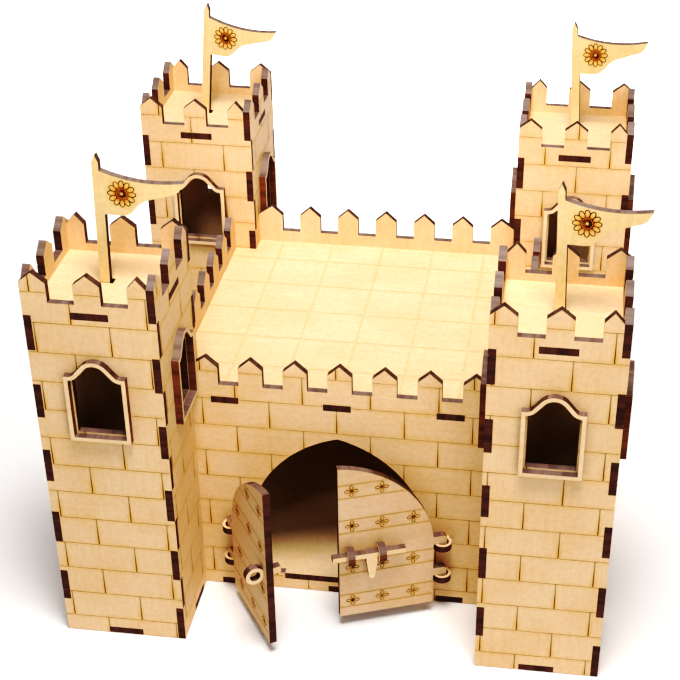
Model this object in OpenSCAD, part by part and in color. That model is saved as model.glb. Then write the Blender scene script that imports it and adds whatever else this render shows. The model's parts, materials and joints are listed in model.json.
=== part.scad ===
// Toy castle of flat sheet pieces: four finger-jointed towers, four curtain walls, a deck,
// and a gateway whose two doors hang on hooks and close with a sliding bolt.
// X runs to the right, Y to the back, Z up. The origin is the castle's centre on the ground.

/* [Sheet] */
// Thickness of the sheet that every piece is cut from
sheet = 3; // [2.8:0.1:3]

/* [Layout] */
// Clear distance between the left and the right towers
gap_x = 120; // [118:1:126]
// Clear distance between the front and the back towers
gap_y = 113; // [110:1:120]
// How far the curtain walls stand back from the towers' faces
wall_inset = 12.5; // [11:0.5:15]

/* [Towers] */
// Outside width of a tower
tower_w = 50; // [49:0.5:52]
// Height of a tower's battlements at their shoulders
tower_h = 165; // [163:0.5:167]
// Height of the first finger on a tower's corners
finger_first = 16.3; // [15:0.1:17]
// Height of the fingers above the first
finger_pitch = 15; // [14.5:0.1:15.1]
// Height of the underside of a tower's roof
tower_roof_z = 150.7; // [150:0.1:152]
// Width of the tabs on a tower's roof and floor
tower_tab_w = 14.2; // [12:0.2:16]
// Width of a battlement's merlon on a tower
tower_merlon_w = 10; // [9:0.5:11]

/* [Battlements] */
// Height of a merlon's point above its shoulders
peak_rise = 4; // [3:0.5:5]
// Depth of the notches below the shoulders
crenel_depth = 8; // [7:0.5:9]
// Number of merlons on a curtain wall
wall_merlons = 7; // [5:1:8]
// Height of a merlon's point above its shoulders on a curtain wall
wall_peak_rise = 4.4; // [3:0.2:5]
// Width of a merlon on the front and back walls
front_merlon_w = 9.7; // [9:0.1:10.5]
// Distance between the merlons of the front and back walls
front_merlon_pitch = 17.9; // [17.5:0.1:18]
// Width of a merlon on the side walls
side_merlon_w = 9.9; // [9:0.1:11]

/* [Curtain walls] */
// Height of a curtain wall at its battlements' shoulders
wall_h = 110.4; // [108:0.4:115]
// Height of the deck's underside
deck_z = 93.8; // [92:0.2:95]
// Height of the inner floor's underside
floor_z = 5.2; // [4.8:0.2:5.2]
// Width of the tabs that hold the deck and the inner floor
deck_tab_w = 11.2; // [10:0.2:13]
// Distance between the deck's tabs
deck_tab_pitch = 45.5; // [40:0.5:46]
// Width of the base's tabs
base_tab_w = 11.7; // [10:0.1:13]
// Distance between the base's tabs
base_tab_pitch = 46.3; // [42:0.1:47]
// Width of the inner floor's tab under the gateway
sill_tab_w = 48; // [40:1:60]
// Distance between the two tabs on each side wall
side_tab_pitch = 56; // [50:2:70]

/* [Gateway] */
// Sideways place of the gateway's centre line
gate_x = -1.2; // [-2:0.1:0]
// Height of the gateway's sill
gate_sill = 8.2; // [8.2:0.1:9]
// Height at which the gateway's arch starts
gate_spring = 32; // [31:0.5:34]
// Radius of each side of the pointed arch
gate_radius = 50; // [49:0.5:51]
// How far each side's centre lies beyond the centre line
gate_cross = 12.5; // [12:0.5:14]

/* [Doors] */
// Distance from the left to the right hinge line
hinge_span = 89; // [89:0.5:90]
// Distance of the hinge lines in front of the front wall
hinge_reach = 4; // [4:0.1:5]
// Gap between a hinge line and its door's edge
leaf_start = 4.2; // [4:0.1:4.5]
// Distance from a hinge line to its door's free edge
leaf_end = 44.1; // [43.5:0.1:44.1]
// Height of a door's lower edge
leaf_bottom = 5.6; // [5:0.1:7]
// Radius of a door's curved top
leaf_radius = 46.6; // [46.4:0.2:48]
// Height of the centre of that curve
leaf_spring = 35; // [34:0.5:36]
// Opening angle of the right door as it stands
right_open = 21.5; // [0:0.5:90]
// Opening angle of the left door as it stands
left_open = 57; // [0:0.5:90]
// Height of the upper hinge ring's top
upper_ring_z = 36; // [35:0.5:37]
// Height of the lower hinge ring's top
lower_ring_z = 19.5; // [18:0.5:21]
// Outer radius of a hinge ring
hinge_ring_r = 3.8; // [3.5:0.1:3.9]
// Radius of the hole in a hinge ring
hinge_hole_r = 2.6; // [2.4:0.1:2.7]

/* [Latch] */
// Height of the bolt's centre line
bolt_z = 39.7; // [39:0.1:41]
// Length of the bolt's bar
bolt_l = 30.5; // [29:0.5:30.5]
// Height of the bolt's bar
bolt_h = 2.3; // [2:0.1:2.4]
// Distance of the bolt's centre line in front of the door's middle plane
bolt_reach = 5; // [5:0.1:5.6]
// Outer radius of a latch ring
latch_ring_r = 3.9; // [3.8:0.1:4.4]
// Radius of the hole in a latch ring
latch_hole_r = 2.2; // [2.2:0.1:2.3]

/* [Windows] */
// Width of a window's frame
window_w = 23.6; // [23:0.2:26]
// Height of the frame's lower edge
window_z = 98.9; // [95:0.5:105]
// Height of the frame's shoulders above its lower edge
window_side = 28.7; // [26:0.1:32]
// Width of the frame's strip
frame_strip = 1.6; // [1.6:0.1:2]
// How far the opening in the wall lies inside the frame's strip
window_step = 0.7; // [0.5:0.1:0.8]

/* [Flags] */
// Width of a flag's pole
pole_w = 3.7; // [3.4:0.1:4]
// Width of the pole above the pennant
pole_tip_w = 2.5; // [2:0.1:3]
// Height of the pole's point above the roof
flag_h = 53; // [50:1:56]
// Length of the pennant from the pole's back edge
pennant_l = 33.4; // [30:0.2:36]

/* [Hidden] */
// Directions: quarter turns from the front about a tower's centre
SIDES = ["front", "right", "back", "left"];
// Towers: name, side in X, side in Y, where the flag's pole stands, and how far it leans and turns
TOWERS = [
    ["front_left", -1, -1, 22.4, 1.8, 0],
    ["front_right", 1, -1, 22.5, -2, -7],
    ["back_left", -1, 1, 21.8, 5, -3.5],
    ["back_right", 1, 1, 22.5, -3.2, -5.5]
];
CASTLE_NODES = ["base_plate", "floor_plate", "front_wall", "back_wall", "left_wall", "right_wall", "roof_deck"];
GATE_NODES = ["left_door", "right_door", "left_hinge_rings", "right_hinge_rings",
    "bolt_guides", "bolt", "keeper_ring"];

face_color = [0.90, 0.76, 0.55];
top_color = [0.95, 0.86, 0.64];
frame_color = [0.86, 0.70, 0.47];

tower_mid = tower_w / 2;
tower_x = gap_x / 2 + tower_mid;
tower_y = gap_y / 2 + tower_mid;
crenel_z = tower_h - crenel_depth;
top_finger = 10;
front_y = gap_y / 2 + wall_inset;
side_x = gap_x / 2 + wall_inset;
side_tabs = [-side_tab_pitch / 2, side_tab_pitch / 2];
front_tabs = [for (i = [-1:1]) gate_x + i * deck_tab_pitch];
base_tabs = [for (i = [-1:1]) i * base_tab_pitch - 0.5];
sill_tab_x = gate_x;

window_half = window_w / 2;
window_shoulder = window_z + window_side;
window_foot_r = 3;
window_crown_r = 6.5;
window_slope = 50;
window_flat = 1.7;
window_straight = (window_half - window_flat - (window_foot_r + window_crown_r) * sin(window_slope))
    / cos(window_slope);
window_top = window_shoulder + (window_foot_r + window_crown_r) * (1 - cos(window_slope))
    + window_straight * sin(window_slope);
arc_step = 5;

hinge_x = hinge_span / 2;
hinge_mid = gate_x - 0.5;
hinge_y = -(front_y + hinge_reach);
leaf_center = leaf_end + 6.5;
pin_half = sheet / 2;
pin_drop = 5;
guide_near = 27.3;
guide_far = 40.3;
keeper_at = 39.2;
tail_out = 4.5;
bolt_start = 17.2;
tongue_x = 29.2;
tongue_w = 4.6;
tongue_tip_r = 1.2;
tongue_bottom = 27.8;
flag_sink = 1.2;
flag_slack = 0.8;

function tower_node(tower, piece) = str(tower[0], "_tower_", piece);
function finger_z(i) = i == 0 ? 0 : i > top_finger ? tower_h + peak_rise + 1 : finger_first + finger_pitch * (i - 1);
function mirrored(points) = [for (i = [len(points) - 1:-1:0]) [-points[i][0], points[i][1]]];
function bezier(a, b, c, d, steps) = [
    for (i = [0:steps])
        let (t = i / steps)
        a * pow(1 - t, 3) + b * 3 * t * pow(1 - t, 2) + c * 3 * t * t * (1 - t) + d * pow(t, 3)
];

// ---- shared shapes ----

// A sheet standing on its lower edge: X along it, its outer face at y = 0
module upright() {
    translate([0, sheet, 0]) rotate([90, 0, 0]) linear_extrude(sheet) children();
}

// One pointed merlon, standing on the notches' floor
module merlon(x, w, z, peak_x, rise = peak_rise) {
    polygon([
        [x, z - crenel_depth - 1],
        [x + w, z - crenel_depth - 1],
        [x + w, z],
        [peak_x, z + rise],
        [x, z]
    ]);
}

// Outline of a window, drawn in by the given distance from the frame's outer edge
module window_outline(inset) {
    foot_x = window_half - window_flat;
    foot_r = window_foot_r + inset;
    crown_r = window_crown_r - inset;
    side_at = window_half - inset;
    first = asin(max(0, (foot_x - side_at) / foot_r));
    half = [
        [side_at, window_z + inset],
        if (side_at > foot_x) [side_at, window_shoulder - inset],
        for (i = [0:8])
            let (a = first + (window_slope - first) * i / 8)
            [foot_x - foot_r * sin(a), window_shoulder + window_foot_r - foot_r * cos(a)],
        for (a = [window_slope:-arc_step:0])
            [crown_r * sin(a), window_top - window_crown_r + crown_r * cos(a)]
    ];
    translate([tower_mid, 0]) polygon(concat(half, [for (p = mirrored(half)) if (p[0] < 0) p]));
}

// A pointed arch from the floor up, centred on x = 0
module pointed_arch(radius, cross, spring, bottom) {
    half_w = radius - cross;
    top = acos(cross / radius);
    steps = 18;
    half = [
        [half_w, bottom],
        for (i = [0:steps])
            let (a = top * i / steps)
            [radius * cos(a) - cross, spring + radius * sin(a)]
    ];
    polygon(concat(half, [for (p = mirrored(half)) if (p[0] < -0.01) p]));
}

// The castle's cross-shaped floor plan between the walls and the towers
module castle_plan() {
    square([2 * side_x - 2 * sheet, gap_y], center = true);
    square([gap_x, 2 * front_y - 2 * sheet], center = true);
}

// Tabs that reach through the front and the back walls
module front_back_tabs(places, w) {
    for (x = places) translate([x - w / 2, -front_y]) square([w, 2 * front_y]);
}

// Tabs that reach through the two side walls
module side_wall_tabs(w) {
    for (y = side_tabs) translate([-side_x, y - w / 2]) square([2 * side_x, w]);
}

// ---- towers ----

module tower_wall() {
    color(face_color) upright() difference() {
        union() {
            square([tower_w, crenel_z]);
            merlon(0, tower_merlon_w, tower_h, tower_merlon_w / 2);
            merlon(tower_mid - tower_merlon_w / 2, tower_merlon_w, tower_h, tower_mid);
            merlon(tower_w - tower_merlon_w, tower_merlon_w - sheet, tower_h,
                tower_w - (tower_merlon_w + sheet) / 2);
        }
        for (i = [0:2:top_finger])
            translate([tower_w - sheet, finger_z(i)]) square([sheet + 1, finger_z(i + 1) - finger_z(i)]);
        for (i = [1:2:top_finger])
            translate([-1, finger_z(i)]) square([sheet + 1, finger_z(i + 1) - finger_z(i)]);
        window_outline(frame_strip + window_step);
        translate([tower_mid - tower_tab_w / 2, tower_roof_z]) square([tower_tab_w, sheet]);
        translate([tower_mid - tower_tab_w / 2, -1]) square([tower_tab_w, sheet + 1]);
    }
}

module window_frame() {
    color(frame_color) translate([0, -sheet, 0]) upright() difference() {
        window_outline(0);
        window_outline(frame_strip);
    }
}

// A square plate inside a tower with a tab through each wall
module tower_plate() {
    inner = tower_w - 2 * sheet;
    square([inner, inner], center = true);
    square([tower_w, tower_tab_w], center = true);
    square([tower_tab_w, tower_w], center = true);
}

module tower_roof(pole_x) {
    slot_l = pole_w + 1.6;
    slot_w = sheet + flag_slack;
    color(top_color) translate([0, 0, tower_roof_z]) linear_extrude(sheet) difference() {
        tower_plate();
        translate([pole_x - tower_mid - 0.3, -slot_w / 2]) square([slot_l, slot_w]);
    }
}

module tower_floor() {
    color(top_color) linear_extrude(sheet) tower_plate();
}

module flag(pole_x, lean, turn) {
    under = 29.8;
    shoulder = flag_h - 2.9;
    belly = bezier([9.5, under], [15.5, under], [14.8, 35.5], [20.6, 37.1], 12);
    crest = bezier([pennant_l, 44.9], [23, 42.8], [13, 43.2], [pole_tip_w, 46.9], 12);
    outline = concat(
        [[0, flag_sink - sheet], [pole_w, flag_sink - sheet], [pole_w, under]],
        belly,
        [[30, 40.2], [31.5, 41.3]],
        crest,
        [[pole_tip_w, shoulder], [pole_tip_w / 2, flag_h], [0, shoulder]]
    );
    color(face_color)
        translate([pole_x - tower_mid + pole_w / 2, 0, tower_roof_z + sheet - flag_sink])
        rotate([0, 0, turn]) rotate([0, lean, 0]) translate([-pole_w / 2, -sheet / 2, 0])
        upright() polygon(outline);
}

// Stands a piece of a tower's side against its own face: 0 front, 1 right, 2 back, 3 left
module on_side(turn) {
    rotate([0, 0, 90 * turn]) translate([-tower_mid, -tower_mid, 0]) children();
}

// ---- curtain walls, deck and floors ----

// The end merlons run on to the wall's ends
module curtain_wall(length, merlon_w, pitch, tabs, low_tabs, floor_tabs) {
    last = wall_merlons - 1;
    spare = (length - last * pitch - merlon_w) / 2;
    difference() {
        union() {
            translate([-length / 2, 0]) square([length, wall_h - crenel_depth]);
            for (i = [0:last])
                let (peak = (i - last / 2) * pitch, left = i == 0 ? spare : 0, right = i == last ? spare : 0)
                merlon(peak - merlon_w / 2 - left, merlon_w + left + right, wall_h, peak, wall_peak_rise);
        }
        for (x = tabs) translate([x - deck_tab_w / 2, deck_z]) square([deck_tab_w, sheet]);
        for (x = floor_tabs) translate([x - deck_tab_w / 2, floor_z]) square([deck_tab_w, sheet]);
        for (x = low_tabs) translate([x - base_tab_w / 2, -1]) square([base_tab_w, sheet + 1]);
    }
}

module front_wall() {
    color(face_color) translate([0, -front_y, 0]) upright() difference() {
        curtain_wall(gap_x, front_merlon_w, front_merlon_pitch, front_tabs, base_tabs, []);
        translate([gate_x, 0]) pointed_arch(gate_radius, gate_cross, gate_spring, gate_sill);
        translate([sill_tab_x - sill_tab_w / 2, floor_z]) square([sill_tab_w, sheet + 1]);
        for (x = [hinge_mid - hinge_x, hinge_mid + hinge_x], z = [upper_ring_z, lower_ring_z])
            translate([x - 2.5, z - sheet]) square([5, sheet]);
    }
}

module back_wall() {
    color(face_color) translate([0, front_y - sheet, 0]) upright()
        curtain_wall(gap_x, front_merlon_w, front_merlon_pitch, front_tabs, base_tabs, front_tabs);
}

module side_wall() {
    pitch = (gap_y - side_merlon_w) / (wall_merlons - 1);
    color(face_color) rotate([0, 0, 90]) upright()
        curtain_wall(gap_y, side_merlon_w, pitch, side_tabs, side_tabs, side_tabs);
}

module left_wall() {
    translate([sheet - side_x, 0, 0]) side_wall();
}

module right_wall() {
    translate([side_x, 0, 0]) side_wall();
}

module roof_deck() {
    color(top_color) translate([0, 0, deck_z]) linear_extrude(sheet) {
        castle_plan();
        front_back_tabs(front_tabs, deck_tab_w);
        side_wall_tabs(deck_tab_w);
    }
}

module base_plate() {
    color(top_color) linear_extrude(sheet) {
        castle_plan();
        front_back_tabs(base_tabs, base_tab_w);
        side_wall_tabs(base_tab_w);
    }
}

module floor_plate() {
    color(top_color) translate([0, 0, floor_z]) linear_extrude(sheet) {
        castle_plan();
        side_wall_tabs(deck_tab_w);
        for (x = front_tabs) translate([x - deck_tab_w / 2, 0]) square([deck_tab_w, front_y]);
        translate([sill_tab_x - sill_tab_w / 2, -front_y]) square([sill_tab_w, front_y]);
    }
}

// ---- doors and latch, drawn closed with the hinge line at x = 0 and the leaf towards +X ----

// Hook that hangs in a hinge ring: an arm from the door's edge and a pin turned down
module hook(ring_top) {
    arm_z = ring_top + 0.2;
    arm_h = 3.8;
    translate([0, arm_z]) square([leaf_start + 1, arm_h]);
    translate([-pin_half, arm_z]) square([2 * pin_half, arm_h - pin_half]);
    translate([0, arm_z + arm_h - pin_half]) circle(r = pin_half, $fn = 32);
    translate([-pin_half, ring_top - pin_drop + pin_half]) square([2 * pin_half, pin_drop]);
    translate([0, ring_top - pin_drop + pin_half]) circle(r = pin_half, $fn = 32);
}

module leaf_outline() {
    steps = 16;
    low = acos((leaf_center - leaf_start) / leaf_radius);
    high = acos((leaf_center - leaf_end) / leaf_radius);
    polygon([
        [leaf_start, leaf_bottom],
        [leaf_end, leaf_bottom],
        for (i = [steps:-1:0])
            let (a = low + (high - low) * i / steps)
            [leaf_center - leaf_radius * cos(a), leaf_spring + leaf_radius * sin(a)]
    ]);
    hook(upper_ring_z);
    hook(lower_ring_z);
}

// A door with square slots for the tails of its latch rings
module leaf(slots) {
    color(face_color) translate([0, -sheet / 2, 0]) upright() difference() {
        leaf_outline();
        for (x = slots) translate([x - sheet / 2, bolt_z - sheet / 2]) square([sheet, sheet]);
    }
}

// A ring across the bolt with a tail through the door, drawn looking along the bolt
module latch_ring() {
    difference() {
        union() {
            intersection() {
                translate([-bolt_reach, bolt_z]) circle(r = latch_ring_r, $fn = 64);
                translate([-bolt_reach - latch_ring_r, bolt_z - latch_ring_r])
                    square([bolt_reach + latch_ring_r - sheet / 2, 2 * latch_ring_r]);
            }
            translate([-sheet / 2 - 1, bolt_z - sheet / 2]) square([1 + sheet + tail_out, sheet]);
        }
        translate([-bolt_reach, bolt_z]) circle(r = latch_hole_r, $fn = 64);
    }
}

// The ring's drawing runs from front to back, so it is turned to stand across the door
module latch_ring_at(x) {
    color(frame_color) translate([x - sheet / 2, 0, 0]) rotate([90, 0, 90]) linear_extrude(sheet)
        latch_ring();
}

module bolt_shape() {
    translate([bolt_start, bolt_z - bolt_h / 2]) square([bolt_l, bolt_h]);
    polygon([
        [tongue_x, bolt_z],
        [tongue_x, bolt_z - bolt_h / 2 - 2],
        [tongue_x + tongue_w / 2 - tongue_tip_r, tongue_bottom + tongue_tip_r],
        [tongue_x + tongue_w / 2 + tongue_tip_r, tongue_bottom + tongue_tip_r],
        [tongue_x + tongue_w, bolt_z - bolt_h / 2 - 2],
        [tongue_x + tongue_w, bolt_z]
    ]);
    translate([tongue_x + tongue_w / 2, tongue_bottom + tongue_tip_r]) circle(r = tongue_tip_r, $fn = 32);
}

// Swings a closed door's pieces out on their hinge line
module on_right_door() {
    translate([hinge_mid + hinge_x, hinge_y, 0]) rotate([0, 0, right_open]) mirror([1, 0, 0]) children();
}

module on_left_door() {
    translate([hinge_mid - hinge_x, hinge_y, 0]) rotate([0, 0, -left_open]) children();
}

module right_door() {
    on_right_door() leaf([guide_near, guide_far]);
}

module left_door() {
    on_left_door() leaf([keeper_at]);
}

module bolt_guides() {
    on_right_door() {
        latch_ring_at(guide_near);
        latch_ring_at(guide_far);
    }
}

module keeper_ring() {
    on_left_door() latch_ring_at(keeper_at);
}

module bolt() {
    color(face_color) on_right_door()
        translate([0, -bolt_reach - sheet / 2, 0]) upright() bolt_shape();
}

// Two rings with tails that reach back through the front wall
module hinge_rings(x) {
    for (z = [upper_ring_z, lower_ring_z])
        color(frame_color) translate([x, hinge_y, z - sheet]) linear_extrude(sheet) difference() {
            union() {
                circle(r = hinge_ring_r, $fn = 64);
                translate([-2.5, 0]) square([5, hinge_reach + sheet]);
            }
            circle(r = hinge_hole_r, $fn = 64);
        }
}

module left_hinge_rings() {
    hinge_rings(hinge_mid - hinge_x);
}

module right_hinge_rings() {
    hinge_rings(hinge_mid + hinge_x);
}

// ---- drawing ----

base_plate();
floor_plate();
front_wall();
back_wall();
left_wall();
right_wall();
roof_deck();

for (tower = TOWERS) translate([tower[1] * tower_x, tower[2] * tower_y, 0]) {
    for (turn = [0:3]) {
        on_side(turn) tower_wall();
        on_side(turn) window_frame();
    }
    tower_roof(tower[3]);
    tower_floor();
    flag(tower[3], tower[4], tower[5]);
}

left_door();
right_door();
left_hinge_rings();
right_hinge_rings();
bolt_guides();
bolt();
keeper_ring();
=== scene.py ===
"""Looks of the toy castle: every packed sheet gets its engraved lines cut as real grooves, charred cut
edges and bare plywood faces, then the studio floor, the lights and the camera follow."""

import json
import math

import bmesh
import bpy
from mathutils import Matrix, Vector


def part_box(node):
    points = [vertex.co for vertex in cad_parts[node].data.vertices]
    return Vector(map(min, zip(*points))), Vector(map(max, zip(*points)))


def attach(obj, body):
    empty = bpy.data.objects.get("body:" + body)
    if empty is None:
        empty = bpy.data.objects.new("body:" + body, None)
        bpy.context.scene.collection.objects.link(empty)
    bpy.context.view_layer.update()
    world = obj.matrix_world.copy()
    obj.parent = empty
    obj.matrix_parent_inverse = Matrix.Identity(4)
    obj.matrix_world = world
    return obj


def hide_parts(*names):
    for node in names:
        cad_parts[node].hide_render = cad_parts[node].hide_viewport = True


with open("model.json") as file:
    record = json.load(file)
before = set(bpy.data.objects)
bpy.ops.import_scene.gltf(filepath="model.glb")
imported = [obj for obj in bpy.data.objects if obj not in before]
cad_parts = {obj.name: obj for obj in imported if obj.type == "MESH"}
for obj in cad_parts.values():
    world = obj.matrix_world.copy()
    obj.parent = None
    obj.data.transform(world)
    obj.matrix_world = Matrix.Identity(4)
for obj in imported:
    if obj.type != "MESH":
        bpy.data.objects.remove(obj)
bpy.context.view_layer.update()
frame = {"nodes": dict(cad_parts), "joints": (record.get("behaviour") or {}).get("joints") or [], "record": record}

MM = 0.001
UP = Vector((0, 0, 1))
SIDE_NORMALS = {
    "front": Vector((0, -1, 0)),
    "right": Vector((1, 0, 0)),
    "back": Vector((0, 1, 0)),
    "left": Vector((-1, 0, 0)),
}
TOWERS = ("front_left", "front_right", "back_left", "back_right")

# ---------------------------------------------------------------------------
# Engraving: millimetres on each sheet's own face
# ---------------------------------------------------------------------------

GROOVE_DEPTH = 0.3
# How far a groove's cutter stands out of the face
CUTTER_RISE = 1
COURSE_WIDTH = 0.3
JOINT_WIDTH = 0.45

COURSE_LINES = {"start": 7.95, "pitch": 12.77, "count": 13}
TOWER_JOINTS = {"start": 3.7, "pitch": 28.5}
TOWER_JOINT_SHIFT = {"front_right": -1.8, "back_left": 4.9, "back_right": -6.0}
TOWER_SPAN = (0, 50)

WALL_COURSES = {"start": 6.4, "pitch": 12.77, "count": 9}
WALL_JOINTS = {"start": -1.4, "pitch": 27.3}
WALL_SPAN = (-60, 60)
# How far the course lines run past the span of the joints, so that they reach the cut edges
COURSE_OVERRUN = 1

FLAGSTONES = {"start_u": -1.1, "start_v": 2.4, "pitch_u": 23.7, "pitch_v": 23.1}
FLAGSTONE_LINES = range(-3, 4)
DECK_REACH = (74, 70)

DOOR_ROWS = (13.5, 31.0, 52.3, 69.7)
DOOR_FLOWERS = (13.0, 26.1, 38.6)
# The door's arch leaves no room for this flower
NO_FLOWER = (DOOR_FLOWERS[0], DOOR_ROWS[-1])
FLOWER_SPOTS = [(u, v) for v in DOOR_ROWS for u in DOOR_FLOWERS if (u, v) != NO_FLOWER]
# Distance from a row of flowers to the lines above and below it
DOOR_BAND = 3.25
DOOR_BAND_SPAN = (3, 44)
DOOR_LINE = 0.34
FLOWER_PETALS = 4
FLOWER_REACH = 1.72
FLOWER_PETAL = (1.0, 0.68)
FLOWER_HEART = 0.75

ROSETTE_AT = (10.5, 40.4)
ROSETTE_PETALS = 12
ROSETTE_REACH = 3.7
ROSETTE_PETAL = (1.5, 0.92)
ROSETTE_LINE = 0.42
ROSETTE_RING = (1.2, 1.2)
ROSETTE_RING_LINE = 1.3


# ---------------------------------------------------------------------------
# Sheets: where each flat piece's face is
# ---------------------------------------------------------------------------


class Sheet:
    """A flat piece's face: an origin, u and v along it, and n out of it."""

    def __init__(self, origin, u, n):
        self.origin = Vector(origin)
        self.u = Vector(u).normalized()
        self.n = Vector(n).normalized()
        across = self.n.cross(self.u).normalized()
        self.v = -across if across.z < 0 else across

    def point(self, u, v, out=0.0):
        return self.origin + (self.u * u + self.v * v + self.n * out) * MM

    def local(self, p):
        d = (Vector(p) - self.origin) / MM
        return d.dot(self.u), d.dot(self.v), d.dot(self.n)


def center(node):
    low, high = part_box(node)
    return (low + high) / 2


def joint(name):
    return next(j for j in frame["joints"] if j["name"] == name)


def tower_sheet(tower, side):
    """A tower side's face, with u from 0 at its left corner as it is looked at."""
    low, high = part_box(f"{tower}_tower_floor")
    middle = (low + high) / 2
    half = (high.x - low.x) / 2
    n = SIDE_NORMALS[side]
    u = UP.cross(n)
    corner = Vector((middle.x, middle.y, 0)) + (n - u) * half
    return Sheet(corner, u, n)


def wall_sheet(side):
    """A curtain wall's outer face, with u from 0 at its middle."""
    low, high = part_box(f"{side}_wall")
    n = SIDE_NORMALS[side]
    middle = (low + high) / 2
    reach = (high - low).dot(Vector(map(abs, n))) / 2
    return Sheet(Vector((middle.x, middle.y, 0)) + n * reach, UP.cross(n), n)


def door_sheet(side):
    """A door's outer face as it stands, with u from 0 at the hinge line."""
    swing = joint(f"{side}_door_swing")
    opened = math.radians(-swing["range_deg"][0])
    pivot = Vector(swing["pos_m"])
    sign = -1 if side == "right" else 1
    along = Vector((sign * math.cos(opened), -math.sin(opened), 0))
    n = along.cross(UP) * sign
    low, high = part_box("front_wall")
    thickness = high.y - low.y
    return Sheet(Vector((pivot.x, pivot.y, 0)) + n * thickness / 2, along, n)


def flag_sheet(node):
    """A flag's front face; u runs along the pole's foot, so the pole's lean and turn are followed."""
    on_face = 0.05 * MM
    foot_height = 0.5 * MM
    mesh = frame["nodes"][node].data
    front = max((f for f in mesh.polygons if f.normal.y < -0.5), key=lambda f: f.area)
    n = front.normal.copy()
    reach = max(v.co.dot(n) for v in mesh.vertices)
    points = [v.co.copy() for v in mesh.vertices if v.co.dot(n) > reach - on_face]
    lowest = min(p.z for p in points)
    foot = [p for p in points if p.z < lowest + foot_height]
    left = min(foot, key=lambda p: p.x)
    right = max(foot, key=lambda p: p.x)
    return Sheet(left, right - left, n)


def plate_sheet(node):
    """A level plate's upper face, with the castle's own X and Y as u and v."""
    _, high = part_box(node)
    return Sheet((0, 0, high.z), (1, 0, 0), UP)


# ---------------------------------------------------------------------------
# Cutters for the engraved lines
# ---------------------------------------------------------------------------


def round_spot(at, reach, i, count):
    """The place of the i-th of so many spots round a point, and its direction."""
    a = math.tau * i / count
    return (at[0] + reach * math.cos(a), at[1] + reach * math.sin(a)), a


def prism(bm, sheet, points, depth=GROOVE_DEPTH):
    """A cutter with the given outline on the sheet's face."""
    floor = [bm.verts.new(sheet.point(u, v, -depth)) for u, v in points]
    roof = [bm.verts.new(sheet.point(u, v, CUTTER_RISE)) for u, v in points]
    bm.faces.new(floor[::-1])
    bm.faces.new(roof)
    for i in range(len(points)):
        j = (i + 1) % len(points)
        bm.faces.new((floor[i], floor[j], roof[j], roof[i]))


def groove(bm, sheet, u0, v0, u1, v1, depth=GROOVE_DEPTH):
    prism(bm, sheet, [(u0, v0), (u1, v0), (u1, v1), (u0, v1)], depth)


def disc_groove(bm, sheet, at, radius, steps=20):
    prism(bm, sheet, [round_spot(at, radius, i, steps)[0] for i in range(steps)])


def loop_groove(bm, sheet, at, size, turn, line, steps=24):
    """A ring-shaped cutter along an ellipse."""
    rings = []
    for grow in (line / 2, -line / 2):
        for out in (-GROOVE_DEPTH, CUTTER_RISE):
            ring = []
            for i in range(steps):
                a = math.tau * i / steps
                x = (size[0] + grow) * math.cos(a)
                y = (size[1] + grow) * math.sin(a)
                u = at[0] + x * math.cos(turn) - y * math.sin(turn)
                v = at[1] + x * math.sin(turn) + y * math.cos(turn)
                ring.append(bm.verts.new(sheet.point(u, v, out)))
            rings.append(ring)
    outer_low, outer_high, inner_low, inner_high = rings
    strips = (
        (outer_low, outer_high),
        (inner_high, inner_low),
        (outer_high, inner_high),
        (inner_low, outer_low),
    )
    for i in range(steps):
        j = (i + 1) % steps
        for a, b in strips:
            bm.faces.new((a[i], a[j], b[j], b[i]))


def stone_cutters(sheet, courses, joints, span):
    """The lines between the courses, and the upright joints in each of them.

    Every other course is shifted by half a stone. A joint ends inside the width of the course
    lines, so that the grooves meet and the two cutters share no face.
    """
    lines = bmesh.new()
    for k in range(courses["count"]):
        v = courses["start"] + k * courses["pitch"]
        groove(lines, sheet, span[0] - COURSE_OVERRUN, v - COURSE_WIDTH / 2,
               span[1] + COURSE_OVERRUN, v + COURSE_WIDTH / 2)
    uprights = bmesh.new()
    half = JOINT_WIDTH / 2
    for k in range(-1, courses["count"]):
        v = courses["start"] + k * courses["pitch"]
        start = joints["start"] + (k % 2) * joints["pitch"] / 2
        first = math.ceil((span[0] - start) / joints["pitch"])
        last = math.floor((span[1] - start) / joints["pitch"])
        for i in range(first, last + 1):
            u = start + i * joints["pitch"]
            groove(uprights, sheet, u - half, v + half / 2, u + half, v + courses["pitch"] - half / 2)
    return [lines, uprights]


def flagstone_cutters(sheet):
    """The deck's lines, half as deep as the others."""
    half = COURSE_WIDTH / 2
    reach_u, reach_v = DECK_REACH
    along = bmesh.new()
    across = bmesh.new()
    for i in FLAGSTONE_LINES:
        v = FLAGSTONES["start_v"] + i * FLAGSTONES["pitch_v"]
        groove(along, sheet, -reach_u, v - half, reach_u, v + half, GROOVE_DEPTH / 2)
        u = FLAGSTONES["start_u"] + i * FLAGSTONES["pitch_u"]
        groove(across, sheet, u - half, -reach_v, u + half, reach_v, GROOVE_DEPTH / 2)
    return [along, across]


def door_cutters(sheet):
    """The bands across a door with a row of four-petalled flowers in each."""
    bands = bmesh.new()
    for row in DOOR_ROWS:
        for v in (row - DOOR_BAND, row + DOOR_BAND):
            groove(bands, sheet, DOOR_BAND_SPAN[0], v - DOOR_LINE / 2,
                   DOOR_BAND_SPAN[1], v + DOOR_LINE / 2)
    petals = bmesh.new()
    hearts = bmesh.new()
    for flower in FLOWER_SPOTS:
        for i in range(FLOWER_PETALS):
            spot, a = round_spot(flower, FLOWER_REACH, i, FLOWER_PETALS)
            loop_groove(petals, sheet, spot, FLOWER_PETAL, a, DOOR_LINE)
        disc_groove(hearts, sheet, flower, FLOWER_HEART)
    return [bands, petals, hearts]


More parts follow.
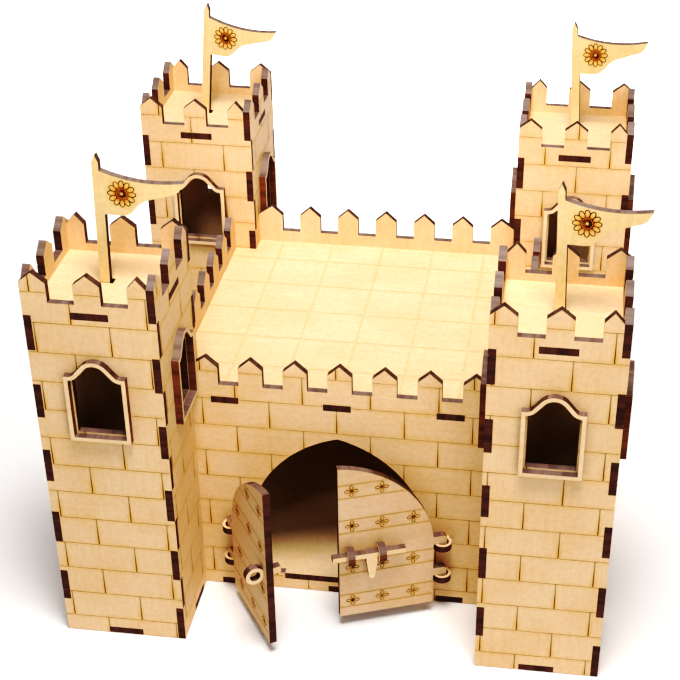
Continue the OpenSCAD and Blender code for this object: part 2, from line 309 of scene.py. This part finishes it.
def rosette_cutters(sheet):
    """The flag's flower: a broad ring round a pale dot, and twelve looped petals.

    Neighbouring petals touch, so they are cut in two turns.
    """
    odd_and_even = [bmesh.new(), bmesh.new()]
    for i in range(ROSETTE_PETALS):
        spot, a = round_spot(ROSETTE_AT, ROSETTE_REACH, i, ROSETTE_PETALS)
        loop_groove(odd_and_even[i % 2], sheet, spot, ROSETTE_PETAL, a, ROSETTE_LINE)
    ring = bmesh.new()
    loop_groove(ring, sheet, ROSETTE_AT, ROSETTE_RING, 0, ROSETTE_RING_LINE)
    return [*odd_and_even, ring]


def cut(mesh, cutter):
    """The mesh with a cutter taken out of it, as a new mesh."""
    tool_mesh = bpy.data.meshes.new("cutter")
    cutter.normal_update()
    bmesh.ops.recalc_face_normals(cutter, faces=cutter.faces)
    cutter.to_mesh(tool_mesh)
    cutter.free()
    tool = bpy.data.objects.new("cutter", tool_mesh)
    body = bpy.data.objects.new("body", mesh)
    for item in (tool, body):
        bpy.context.scene.collection.objects.link(item)
    modifier = body.modifiers.new("cut", "BOOLEAN")
    modifier.operation = "DIFFERENCE"
    modifier.solver = "MANIFOLD"
    modifier.object = tool
    graph = bpy.context.evaluated_depsgraph_get()
    result = bpy.data.meshes.new_from_object(body.evaluated_get(graph), depsgraph=graph)
    bpy.data.objects.remove(body)
    bpy.data.objects.remove(tool)
    bpy.data.meshes.remove(tool_mesh)
    return result


# ---------------------------------------------------------------------------
# Materials: distances in millimetres, noise in features per millimetre
# ---------------------------------------------------------------------------

FACE_PALE = (0.82, 0.595, 0.365)
FACE_DEEP = (0.79, 0.55, 0.31)
DECK_PALE = (0.86, 0.66, 0.42)
DECK_DEEP = (0.84, 0.62, 0.37)
DOOR_PALE = (0.71, 0.51, 0.335)
DOOR_DEEP = (0.68, 0.47, 0.285)
FLAG_PALE = (0.82, 0.63, 0.335)
FLAG_DEEP = (0.79, 0.585, 0.285)

STONE_FAINT = (0.69, 0.47, 0.22)
STONE_BURNT = (0.15, 0.06, 0.016)

# What the face's colour is multiplied by where these lie fully over it
GRAIN_TINT = (0.985, 0.972, 0.955)
FLECK_TINT = (0.93, 0.87, 0.78)
SCORCH_TINT = (0.95, 0.80, 0.46)
BURN_TINT = (0.80, 0.42, 0.20)

CLOUDS = 0.045
GRAIN_ALONG = 0.012
GRAIN_ACROSS = 0.55
FIBRES_PER_GRAIN = 7
MOTTLE = 0.5
UNEVEN_TAN = 0.09
UNEVEN_BURN = 0.5
MISSED = 0.11
STREAKS = 0.35
GRIT = 2.5
# Spreads the pieces' own random numbers, so that no two pieces show the same grain
PIECE_STEP = 37.0

# Strongest share of each effect
FLECK_SHARE = 0.5
MOTTLE_SHARE = 0.45
COURSE_TAN = 0.45
FLAGSTONE_TAN = 0.35
BAND_TAN = 0.5
FAINT_SHARE = 0.3
MEETING_SHARE = 0.5
MISSED_SHARE = 0.75
GRIT_SHARE = 0.4

WOOD_BUMP = 0.05 * MM
LINE_BUMP = 0.05 * MM
CHAR_BUMP = 0.06 * MM

# By name, filled as they are made
MATERIALS = {}


class Nodes:
    """A new material's node tree, with short calls for the nodes that are used here."""

    def __init__(self, name, roughness, specular):
        material = bpy.data.materials.new(name)
        material.use_nodes = True
        MATERIALS[name] = material
        self.tree = material.node_tree
        self.shader = self.tree.nodes["Principled BSDF"]
        self.shader.inputs["Roughness"].default_value = roughness
        self.shader.inputs["Specular IOR Level"].default_value = specular
        uv = self.tree.nodes.new("ShaderNodeUVMap")
        uv.uv_map = "sheet"
        split = self.tree.nodes.new("ShaderNodeSeparateXYZ")
        self.link(uv.outputs["UV"], split.inputs[0])
        self.u = split.outputs["X"]
        self.v = split.outputs["Y"]
        self.piece = self.tree.nodes.new("ShaderNodeObjectInfo").outputs["Random"]

    def link(self, source, socket):
        """Joins a node's output to a socket, or sets the socket to a number or a colour."""
        if isinstance(source, (int, float)):
            socket.default_value = source
        elif isinstance(source, tuple):
            socket.default_value = (*source, 1)
        else:
            self.tree.links.new(source, socket)

    def math(self, operation, a, b=0.0):
        node = self.tree.nodes.new("ShaderNodeMath")
        node.operation = operation
        self.link(a, node.inputs[0])
        self.link(b, node.inputs[1])
        return node.outputs[0]

    def fade(self, value, start, end):
        """1 where the value is at start, falling smoothly to 0 at end."""
        node = self.tree.nodes.new("ShaderNodeMapRange")
        node.interpolation_type = "SMOOTHSTEP"
        self.link(value, node.inputs["Value"])
        self.link(start, node.inputs["From Min"])
        self.link(end, node.inputs["From Max"])
        node.inputs["To Min"].default_value = 1
        node.inputs["To Max"].default_value = 0
        return node.outputs["Result"]

    def mix(self, share, a, b, blend="MIX"):
        node = self.tree.nodes.new("ShaderNodeMix")
        node.data_type = "RGBA"
        node.blend_type = blend
        color_a, color_b = (s for s in node.inputs if s.type == "RGBA")
        self.link(share, node.inputs["Factor"])
        self.link(a, color_a)
        self.link(b, color_b)
        return next(s for s in node.outputs if s.type == "RGBA")

    def noise(self, per_u, per_v, detail, seed):
        """Noise over the face, other on each piece."""
        place = self.tree.nodes.new("ShaderNodeCombineXYZ")
        self.link(self.math("MULTIPLY", self.u, per_u), place.inputs["X"])
        self.link(self.math("MULTIPLY", self.v, per_v), place.inputs["Y"])
        offset = self.math("MULTIPLY", self.piece, PIECE_STEP)
        self.link(self.math("ADD", offset, seed), place.inputs["Z"])
        node = self.tree.nodes.new("ShaderNodeTexNoise")
        node.inputs["Scale"].default_value = 1
        node.inputs["Detail"].default_value = detail
        self.link(place.outputs[0], node.inputs["Vector"])
        return node.outputs["Fac"]

    def patches(self, per_mm, detail, seed, start, end):
        """Noise with one scale both ways: 1 where it is past start, 0 where it is past end."""
        return self.fade(self.noise(per_mm, per_mm, detail, seed), start, end)

    def near_lines(self, value, start, pitch):
        """Distance to the nearest of evenly spaced lines, and the place among them, in pitches."""
        along = self.math("DIVIDE", self.math("SUBTRACT", value, start), pitch)
        part = self.math("FRACT", along)
        away = self.math("MINIMUM", part, self.math("SUBTRACT", 1.0, part))
        return self.math("MULTIPLY", away, pitch), along

    def stone_lines(self, courses, joints):
        """Distances to the course lines and to the upright joints, and the height in the course."""
        to_course, along = self.near_lines(self.v, courses["start"], courses["pitch"])
        course = self.math("FLOOR", along)
        odd = self.math("FLOORED_MODULO", course, 2.0)
        shift = self.math("MULTIPLY", odd, joints["pitch"] / 2)
        moved = self.math("SUBTRACT", self.u, shift)
        to_joint, _ = self.near_lines(moved, joints["start"], joints["pitch"])
        return to_course, to_joint, self.math("SUBTRACT", along, course)

    def from_spot(self, spot):
        """Distance to a spot on the face."""
        across = self.math("SUBTRACT", self.u, spot[0])
        over = self.math("SUBTRACT", self.v, spot[1])
        squares = self.math("MULTIPLY", across, across), self.math("MULTIPLY", over, over)
        return self.math("SQRT", self.math("ADD", *squares))

    def from_door_row(self):
        """Distance to the nearest row of a door's flowers."""
        offsets = [self.math("ABSOLUTE", self.math("SUBTRACT", self.v, row)) for row in DOOR_ROWS]
        nearest = offsets[0]
        for offset in offsets[1:]:
            nearest = self.math("MINIMUM", offset, nearest)
        return nearest

    def bump(self, height, strength, distance):
        node = self.tree.nodes.new("ShaderNodeBump")
        node.inputs["Strength"].default_value = strength
        node.inputs["Distance"].default_value = distance
        self.link(height, node.inputs["Height"])
        self.link(node.outputs["Normal"], self.shader.inputs["Normal"])

    def color(self, value):
        self.link(value, self.shader.inputs["Base Color"])


def wood(name, pale, deep, upright_grain=False, tan=None, burn=None):
    """A bare plywood face. tan(nodes) and burn(nodes) give how strongly engraving coloured a place."""
    nodes = Nodes(name, roughness=0.62, specular=0.25)
    per_u, per_v = (GRAIN_ACROSS, GRAIN_ALONG) if upright_grain else (GRAIN_ALONG, GRAIN_ACROSS)
    clouds = nodes.patches(CLOUDS, detail=2, seed=3, start=0.35, end=0.65)
    grain = nodes.noise(per_u, per_v, detail=5, seed=11)
    fibres = nodes.noise(per_u * FIBRES_PER_GRAIN, per_v * FIBRES_PER_GRAIN, detail=3, seed=23)
    mottle = nodes.patches(MOTTLE, detail=4, seed=29, start=0.6, end=0.42)
    flecks = nodes.math("MULTIPLY", nodes.fade(fibres, 0.56, 0.66), FLECK_SHARE)
    color = nodes.mix(clouds, deep, pale)
    color = nodes.mix(nodes.fade(grain, 0.62, 0.44), color, GRAIN_TINT, "MULTIPLY")
    color = nodes.mix(flecks, color, FLECK_TINT, "MULTIPLY")
    color = nodes.mix(nodes.math("MULTIPLY", mottle, MOTTLE_SHARE), color, FLECK_TINT, "MULTIPLY")
    if tan:
        color = nodes.mix(tan(nodes), color, SCORCH_TINT, "MULTIPLY")
    if burn:
        color = nodes.mix(burn(nodes), color, BURN_TINT, "MULTIPLY")
    nodes.color(color)
    nodes.bump(nodes.math("ADD", grain, fibres), 0.12, WOOD_BUMP)


def stone_tan(courses, joints):
    """The tan halo beside engraved stone joints, stronger beside the uprights' lower ends."""

    def tan(nodes):
        to_course, to_joint, height = nodes.stone_lines(courses, joints)
        beside_course = nodes.math("MULTIPLY", nodes.fade(to_course, 0.2, 2.2), COURSE_TAN)
        low = nodes.fade(height, 0.0, 1.1)
        beside_joint = nodes.math("MULTIPLY", nodes.fade(to_joint, 0.2, 2.0), low)
        uneven = nodes.math("ADD", nodes.noise(UNEVEN_TAN, UNEVEN_TAN, detail=2, seed=41), 0.35)
        return nodes.math("MULTIPLY", nodes.math("MAXIMUM", beside_course, beside_joint), uneven)

    return tan


def flagstone_tan(nodes):
    across, _ = nodes.near_lines(nodes.u, FLAGSTONES["start_u"], FLAGSTONES["pitch_u"])
    along, _ = nodes.near_lines(nodes.v, FLAGSTONES["start_v"], FLAGSTONES["pitch_v"])
    nearest = nodes.math("MINIMUM", across, along)
    return nodes.math("MULTIPLY", nodes.fade(nearest, 0.1, 1.2), FLAGSTONE_TAN)


def door_tan(nodes):
    """Tan beside the bands' edges and round each flower."""
    to_band = nodes.math("ABSOLUTE", nodes.math("SUBTRACT", nodes.from_door_row(), DOOR_BAND))
    strength = nodes.math("MULTIPLY", nodes.fade(to_band, 0.1, 1.5), BAND_TAN)
    for flower in FLOWER_SPOTS:
        strength = nodes.math("MAXIMUM", nodes.fade(nodes.from_spot(flower), 1.0, 3.6), strength)
    return strength


def rosette_tan(nodes):
    return nodes.fade(nodes.from_spot(ROSETTE_AT), 2.5, 7.0)


def rosette_burn(nodes):
    """The wood between the petals' roots, browned by the dense lines, but not the middle dot."""
    distance = nodes.from_spot(ROSETTE_AT)
    return nodes.math("MULTIPLY", nodes.fade(distance, 2.0, 4.0), nodes.fade(distance, 0.75, 0.5))


def engraving(name, faint, burnt, burn=None, rough=True):
    """The floor of an engraved line: light brown, burnt where the laser slowed down.

    burn(nodes, share, faint) takes the burnt colour's share and the faint colour and gives both anew.
    """
    nodes = Nodes(name, roughness=0.8, specular=0.1)
    uneven = nodes.noise(UNEVEN_BURN, UNEVEN_BURN, detail=2, seed=5)
    share = nodes.fade(uneven, 0.65, 0.35)
    if burn:
        share, faint = burn(nodes, share, faint)
    nodes.color(nodes.mix(share, faint, burnt))
    if rough:
        nodes.bump(uneven, 0.3, LINE_BUMP)


def stone_burn(courses, joints):
    """Stone joints: burnt at the uprights' lower ends, here and there as pale as the wood."""

    def burn(nodes, share, faint):
        _, to_joint, height = nodes.stone_lines(courses, joints)
        upright = nodes.fade(to_joint, 0.25, 0.5)
        slow = nodes.math("MULTIPLY", upright, nodes.fade(height, 0.15, 1.3))
        meeting = nodes.math("MULTIPLY", nodes.fade(to_joint, 0.3, 2.0), MEETING_SHARE)
        share = nodes.math("MULTIPLY", share, FAINT_SHARE)
        share = nodes.math("MAXIMUM", share, nodes.math("MAXIMUM", slow, meeting))
        missed = nodes.patches(MISSED, detail=3, seed=17, start=0.42, end=0.6)
        return share, nodes.mix(nodes.math("MULTIPLY", missed, MISSED_SHARE), faint, FACE_DEEP)

    return burn


def door_burn(nodes, share, faint):
    """A door's grooves: pale along the bands, burnt in the flowers between them."""
    between = nodes.fade(nodes.from_door_row(), 2.75, 2.95)
    uneven = nodes.math("ADD", nodes.math("MULTIPLY", share, 0.6), 0.4)
    return nodes.math("MULTIPLY", between, uneven), faint


def char(name, dark, light, roughness, specular):
    """A laser-cut edge: charred, with paler streaks along the cut."""
    nodes = Nodes(name, roughness, specular)
    streaks = nodes.patches(STREAKS, detail=4, seed=7, start=0.7, end=0.35)
    grit = nodes.noise(GRIT, GRIT, detail=2, seed=19)
    specks = nodes.math("MULTIPLY", nodes.fade(grit, 0.65, 0.5), GRIT_SHARE)
    nodes.color(nodes.mix(specks, nodes.mix(streaks, light, dark), dark))
    nodes.bump(grit, 0.35, CHAR_BUMP)


wood("tower_face", FACE_PALE, FACE_DEEP, True, stone_tan(COURSE_LINES, TOWER_JOINTS))
wood("wall_face", FACE_PALE, FACE_DEEP, False, stone_tan(WALL_COURSES, WALL_JOINTS))
wood("plain_face", FACE_PALE, FACE_DEEP, True)
wood("deck_face", DECK_PALE, DECK_DEEP, False, flagstone_tan)
wood("plate_face", DECK_PALE, DECK_DEEP)
wood("door_face", DOOR_PALE, DOOR_DEEP, False, door_tan)
wood("flag_face", FLAG_PALE, FLAG_DEEP, True, rosette_tan, rosette_burn)
wood("trim_face", DECK_PALE, FACE_PALE)
engraving("tower_engraving", STONE_FAINT, STONE_BURNT, stone_burn(COURSE_LINES, TOWER_JOINTS))
engraving("wall_engraving", STONE_FAINT, STONE_BURNT, stone_burn(WALL_COURSES, WALL_JOINTS))
engraving("deck_engraving", (0.79, 0.59, 0.34), (0.66, 0.46, 0.23))
engraving("door_engraving", (0.57, 0.39, 0.20), (0.14, 0.04, 0.01), door_burn, rough=False)
engraving("flower_engraving", (0.30, 0.12, 0.03), (0.08, 0.02, 0.006))
char("char", (0.06, 0.021, 0.015), (0.12, 0.045, 0.03), 0.7, 0.2)
# A painted sheen of the lights: the charred edges that face up get a lighter, greyer copy of the char
char("char_painted_sheen", (0.13, 0.08, 0.065), (0.23, 0.155, 0.13), 0.6, 0.4)
# The charred slopes of front and back sheets get a dark copy of the char, without the painted sheen
char("char_slope_no_sheen", (0.06, 0.025, 0.017), (0.13, 0.065, 0.045), 0.65, 0.3)
char("trim_char", (0.10, 0.032, 0.015), (0.20, 0.075, 0.035), 0.7, 0.2)


# ---------------------------------------------------------------------------
# Dressing the sheets
# ---------------------------------------------------------------------------

# A sheet's material slots
FACE, INNER, LINE, EDGE, TOP, SLOPE = range(6)
# How near to a direction a face's normal has to be, as the cosine between them
FACING = 0.9
SLOPING = 0.3
# Slack for telling a groove's floor from the face, in millimetres
DEPTH_SLACK = 0.05
WELD_DISTANCE = 1e-6
FLAT_ANGLE = math.radians(0.5)
SHARP_ANGLE = math.radians(25)

body_of = {node: body for body, nodes in frame["record"]["behaviour"]["bodies"].items() for node in nodes}


def welded_copy(node):
    """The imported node's mesh as a closed one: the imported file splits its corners."""
    bm = bmesh.new()
    bm.from_mesh(frame["nodes"][node].data)
    bmesh.ops.remove_doubles(bm, verts=bm.verts, dist=WELD_DISTANCE)
    mesh = bpy.data.meshes.new(node)
    bm.to_mesh(mesh)
    bm.free()
    return mesh


def surface_kind(f, sheet, top):
    """The material slot of a face. top is the height of the sheet's own face over its origin."""
    facing = f.normal.dot(sheet.n)
    if facing > FACING:
        depth = top - sheet.local(f.calc_center_median())[2]
        return FACE if depth < DEPTH_SLACK else LINE
    if facing < -FACING:
        return INNER
    lowest = max(top - sheet.local(v.co)[2] for v in f.verts)
    if lowest < GROOVE_DEPTH + DEPTH_SLACK:
        return LINE
    # Up-facing cut edges go to the slot with the char's painted sheen, and sloping ones to a slot of their own
    if f.normal.z > FACING:
        return TOP
    return SLOPE if f.normal.z > SLOPING else EDGE


def dress(node, sheet, face, cutters=(), inner="plain_face", line=None, edge="char", shift=0.0):
    """Replaces a node by its engraved piece, with a material for each kind of surface."""
    mesh = welded_copy(node)
    for cutter in cutters:
        mesh = cut(mesh, cutter)
    bm = bmesh.new()
    bm.from_mesh(mesh)
    bmesh.ops.dissolve_limit(bm, angle_limit=FLAT_ANGLE, verts=bm.verts, edges=bm.edges)
    bm.normal_update()
    top = max(sheet.local(v.co)[2] for v in bm.verts)
    uv = bm.loops.layers.uv.new("sheet")
    for f in bm.faces:
        f.material_index = surface_kind(f, sheet, top)
        f.smooth = True
        for loop in f.loops:
            u, v, _ = sheet.local(loop.vert.co)
            loop[uv].uv = (u - shift, v)
    for e in bm.edges:
        e.smooth = len(e.link_faces) == 2 and e.calc_face_angle(0) < SHARP_ANGLE
    # Slopes of sheets facing left or right get the painted sheen of the tops; those of front and back sheets get
    # the dark char without it
    slope = "char_slope_no_sheen" if abs(sheet.n.y) > 0.5 else "char_painted_sheen"
    # Clearing the materials resets the faces' slots, so it comes before to_mesh
    mesh.materials.clear()
    for name in (face, inner, line or face, edge, "char_painted_sheen", slope):
        mesh.materials.append(MATERIALS[name])
    bm.to_mesh(mesh)
    bm.free()
    piece = bpy.data.objects.new(f"{node}_sheet", mesh)
    bpy.context.scene.collection.objects.link(piece)
    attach(piece, body_of[node])
    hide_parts(node)


for tower in TOWERS:
    shift = TOWER_JOINT_SHIFT.get(tower, 0)
    joints = {"start": TOWER_JOINTS["start"] + shift, "pitch": TOWER_JOINTS["pitch"]}
    for side in SIDE_NORMALS:
        sheet = tower_sheet(tower, side)
        cutters = stone_cutters(sheet, COURSE_LINES, joints, TOWER_SPAN)
        wall = f"{tower}_tower_{side}_wall"
        dress(wall, sheet, "tower_face", cutters, line="tower_engraving", shift=shift)
        dress(f"{tower}_tower_{side}_window_frame", sheet, "trim_face", edge="trim_char")
    for plate in ("roof", "floor"):
        node = f"{tower}_tower_{plate}"
        dress(node, plate_sheet(node), "plate_face")
    node = f"{tower}_tower_flag"
    sheet = flag_sheet(node)
    dress(node, sheet, "flag_face", rosette_cutters(sheet), line="flower_engraving")

for side in SIDE_NORMALS:
    sheet = wall_sheet(side)
    cutters = stone_cutters(sheet, WALL_COURSES, WALL_JOINTS, WALL_SPAN)
    dress(f"{side}_wall", sheet, "wall_face", cutters, line="wall_engraving")

deck = plate_sheet("roof_deck")
dress("roof_deck", deck, "deck_face", flagstone_cutters(deck), line="deck_engraving")
for node in ("base_plate", "floor_plate"):
    dress(node, plate_sheet(node), "plate_face")

for side in ("left", "right"):
    sheet = door_sheet(side)
    dress(f"{side}_door", sheet, "door_face", door_cutters(sheet), line="door_engraving")
    rings = f"{side}_hinge_rings"
    dress(rings, plate_sheet(rings), "trim_face", inner="trim_face")

dress("bolt", door_sheet("right"), "trim_face", inner="trim_face")
for node, side in (("bolt_guides", "right"), ("keeper_ring", "left")):
    door = door_sheet(side)
    # A ring's sheet stands out from its door, so the ring's faces look along the door
    sheet = Sheet(center(node), door.n, door.u)
    dress(node, sheet, "trim_face", inner="trim_face", edge="trim_char")

# ---------------------------------------------------------------------------
# Studio
# ---------------------------------------------------------------------------

# A print-like toe for the tone curve: linear brightness in and out
COMBINED_CURVE = 3
SHADOW_TOE = (0.1, 0.035)
SHADOW_SHOULDER = (0.3, 0.28)

FLOOR_HALF = 4.0
FLOOR_DROP = 0.2 * MM
FLOOR_COLOR = (0.93, 0.93, 0.94, 1)

WORLD_STRENGTH = 0.3
CASTLE_MIDDLE = (0, 0, 0.08)
BACK_TOWERS_FRONTS = (0.0, 0.07, 0.14)
BEHIND_THE_CASTLE = (0, 0.8, 0)

CAMERA_SPOT = Vector((0.0867, -0.5703, 0.4353))
CAMERA_AZIMUTH = math.radians(-6.53)
CAMERA_ELEVATION = math.radians(-33.2)
CAMERA_ROLL = math.radians(0.75)
CAMERA_LENS = 81.4
CAMERA_SHIFT = (-0.1078, 0.0791)

scene = bpy.context.scene
scene.view_settings.view_transform = "Standard"


def darken_shadows():
    """The rooms behind the openings go dark, and the lit wood stays as it is."""
    scene.view_settings.use_curve_mapping = True
    mapping = scene.view_settings.curve_mapping
    combined = mapping.curves[COMBINED_CURVE]
    combined.points.new(*SHADOW_TOE)
    combined.points.new(*SHADOW_SHOULDER)
    mapping.update()


def lay_floor():
    """One pale floor, wide enough to be the backdrop too."""
    mesh = bpy.data.meshes.new("studio_floor")
    half = FLOOR_HALF
    corners = [(-half, -half, 0), (half, -half, 0), (half, half, 0), (-half, half, 0)]
    mesh.from_pydata(corners, [], [(0, 1, 2, 3)])
    floor = bpy.data.objects.new("studio_floor", mesh)
    paint = bpy.data.materials.new("studio_floor")
    paint.use_nodes = True
    shader = paint.node_tree.nodes["Principled BSDF"]
    shader.inputs["Base Color"].default_value = FLOOR_COLOR
    shader.inputs["Roughness"].default_value = 0.9
    shader.inputs["Specular IOR Level"].default_value = 0.1
    mesh.materials.append(paint)
    scene.collection.objects.link(floor)
    floor.location.z = -FLOOR_DROP


def area_light(name, spot, aim, size, power, color=(1, 1, 1), spread=180):
    data = bpy.data.lights.new(name, "AREA")
    data.spread = math.radians(spread)
    data.shape = "DISK"
    data.size = size
    data.energy = power
    data.color = color
    lamp = bpy.data.objects.new(name, data)
    lamp.location = spot
    lamp.rotation_mode = "QUATERNION"
    lamp.rotation_quaternion = (Vector(aim) - Vector(spot)).to_track_quat("-Z", "Y")
    scene.collection.objects.link(lamp)


def light_the_studio():
    world = bpy.data.worlds.new("studio")
    world.use_nodes = True
    sky = world.node_tree.nodes["Background"]
    sky.inputs["Color"].default_value = (1.0, 1.0, 1.0, 1)
    sky.inputs["Strength"].default_value = WORLD_STRENGTH
    scene.world = world
    area_light("key", (0.06, -0.28, 0.82), CASTLE_MIDDLE, size=0.3, power=6.4, color=(1.0, 0.98, 0.955))
    area_light("fill", (0.6, -1.0, 0.52), CASTLE_MIDDLE, size=0.5, power=2.8)
    area_light("back_towers", (0.0, -0.5, 0.62), BACK_TOWERS_FRONTS, size=0.12, power=0.06, spread=26)
    area_light("backdrop", (0.0, 0.8, 0.8), BEHIND_THE_CASTLE, size=0.6, power=8.5, spread=85)


def make_camera():
    data = bpy.data.cameras.new("camera")
    data.sensor_width = 36
    data.lens = CAMERA_LENS
    data.shift_x, data.shift_y = CAMERA_SHIFT
    data.clip_start, data.clip_end = 0.01, 20
    az, el, roll = CAMERA_AZIMUTH, CAMERA_ELEVATION, CAMERA_ROLL
    ahead = Vector((math.sin(az) * math.cos(el), math.cos(az) * math.cos(el), math.sin(el)))
    side = Vector((math.cos(az), -math.sin(az), 0))
    above = side.cross(ahead)
    right = side * math.cos(roll) + above * math.sin(roll)
    top = above * math.cos(roll) - side * math.sin(roll)
    camera = bpy.data.objects.new("camera", data)
    turn = Matrix((right, top, -ahead)).transposed().to_4x4()
    camera.matrix_world = Matrix.Translation(CAMERA_SPOT) @ turn
    scene.collection.objects.link(camera)
    scene.camera = camera


darken_shadows()
lay_floor()
light_the_studio()
make_camera()
